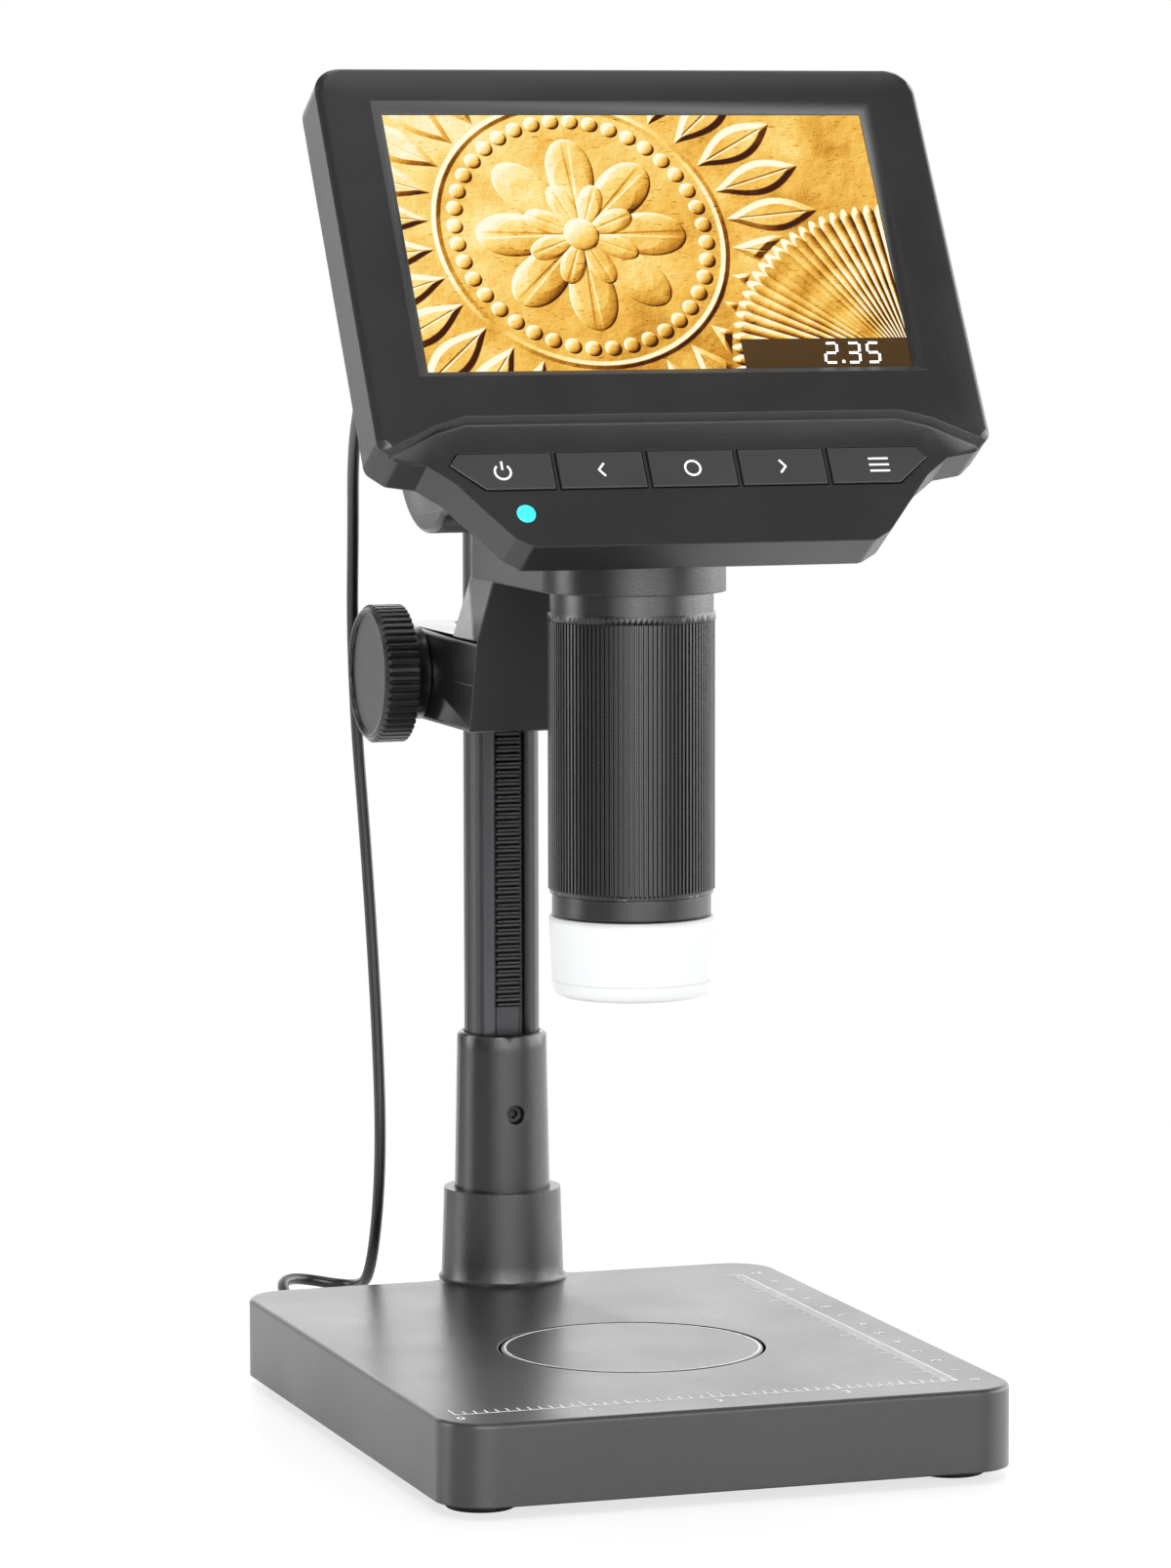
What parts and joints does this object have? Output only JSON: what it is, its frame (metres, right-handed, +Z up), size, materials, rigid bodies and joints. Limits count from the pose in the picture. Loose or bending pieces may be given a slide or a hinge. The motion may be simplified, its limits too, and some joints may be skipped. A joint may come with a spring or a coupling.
{
  "type": "digital microscope",
  "caption": "Digital microscope: a tilted screen head with a lens barrel slides on a rack column by a focus knob, over a ruled base with a round weighing pan",
  "frame": {"origin": "on the table under the middle of the stand", "axes": "+X to the right, +Y to the back, +Z up, the screen faces -Y"},
  "size_m": [0.122, 0.1836, 0.2662],
  "materials": {
    "grey_plastic": "fine grained, satin",
    "dark_plastic": "fine grained",
    "foot_rubber": "soft matte",
    "cord_rubber": "smooth, slightly glossy",
    "column_aluminium": "dark anodised",
    "steel": "machined",
    "bush_brass": "turned",
    "board_green": "lacquered",
    "frosted_white": "frosted, lit from inside",
    "clear_glass": "clear",
    "display": "lit display",
    "light_cyan": "lit",
    "battery_wrap": "shrink wrap"
  },
  "bodies": {
    "stand": {"base_shell": "grey_plastic", "base_cover": "dark_plastic", "feet": "foot_rubber", "base_screws": "steel", "load_cell": "column_aluminium", "weighing_board": "board_green", "base_socket": "dark_plastic", "column": "column_aluminium", "column_sleeve": "grey_plastic", "clamp_screw": "steel", "column_bolt": "steel", "column_cap": "dark_plastic", "rack": "steel", "signal_cord": "cord_rubber", "base_plug": "cord_rubber"},
    "carriage": {"arm_bracket": "grey_plastic", "housing_cover": "grey_plastic", "guide_rings": "dark_plastic", "shaft_bushes": "bush_brass", "housing_screws": "steel", "tube_body": "grey_plastic", "nose_ring": "grey_plastic", "light_hood": "frosted_white", "light_ring": "board_green", "image_sensor": "board_green", "head_front_shell": "grey_plastic", "head_rear_shell": "grey_plastic", "screen_glass": "clear_glass", "display_module": "display", "main_board": "board_green", "key_board": "board_green", "status_light": "light_cyan", "battery": "battery_wrap", "head_socket": "dark_plastic", "head_screws": "steel", "head_plug": "cord_rubber"},
    "weighing_pan": {"pan": "grey_plastic"},
    "focus_shaft": {"pinion_shaft": "steel", "focus_knob_left": "grey_plastic", "focus_knob_right": "grey_plastic"},
    "focus_ring": {"focus_grip": "grey_plastic"},
    "lens_slider": {"lens_cell": "dark_plastic", "objective_lens": "clear_glass"},
    "power_key": {"power_button": "grey_plastic"},
    "back_key": {"back_button": "grey_plastic"},
    "select_key": {"select_button": "grey_plastic"},
    "forward_key": {"forward_button": "grey_plastic"},
    "menu_key": {"menu_button": "grey_plastic"}
  },
  "joints": [
    {"name": "carriage_slide", "type": "slide", "parent": "stand", "child": "carriage", "axis": [0, 0, 1], "range_m": [-0.0645, 0.045], "deforming": ["signal_cord"]},
    {"name": "focus_knob_turn", "type": "hinge", "parent": "carriage", "child": "focus_shaft", "pos_m": [0, 0.05645, 0.1453], "axis": [1, 0, 0], "range_deg": [-530, 760]},
    {"name": "focus_ring_turn", "type": "hinge", "parent": "carriage", "child": "focus_ring", "pos_m": [0, -0.0165, 0.13], "axis": [0, 0, 1], "range_deg": [-61, 61]},
    {"name": "lens_slide", "type": "slide", "parent": "carriage", "child": "lens_slider", "axis": [0, 0, 1], "range_m": [-0.0015, 0.0015]},
    {"name": "pan_press", "type": "slide", "parent": "stand", "child": "weighing_pan", "axis": [0, 0, 1], "range_m": [-0.0004, 0], "stiffness_N_per_m": 12500},
    {"name": "power_press", "type": "slide", "parent": "carriage", "child": "power_key", "axis": [0, 0.8545, -0.5195], "range_m": [0, 0.0005], "stiffness_N_per_m": 2000},
    {"name": "back_press", "type": "slide", "parent": "carriage", "child": "back_key", "axis": [0, 0.8545, -0.5195], "range_m": [0, 0.0005], "stiffness_N_per_m": 2000},
    {"name": "select_press", "type": "slide", "parent": "carriage", "child": "select_key", "axis": [0, 0.8545, -0.5195], "range_m": [0, 0.0005], "stiffness_N_per_m": 2000},
    {"name": "forward_press", "type": "slide", "parent": "carriage", "child": "forward_key", "axis": [0, 0.8545, -0.5195], "range_m": [0, 0.0005], "stiffness_N_per_m": 2000},
    {"name": "menu_press", "type": "slide", "parent": "carriage", "child": "menu_key", "axis": [0, 0.8545, -0.5195], "range_m": [0, 0.0005], "stiffness_N_per_m": 2000}
  ],
  "couplings": [
    {"joint": "focus_knob_turn", "follows": "carriage_slide", "rad_per_m": -202.95},
    {"joint": "focus_ring_turn", "follows": "lens_slide", "rad_per_m": 698.13}
  ]
}
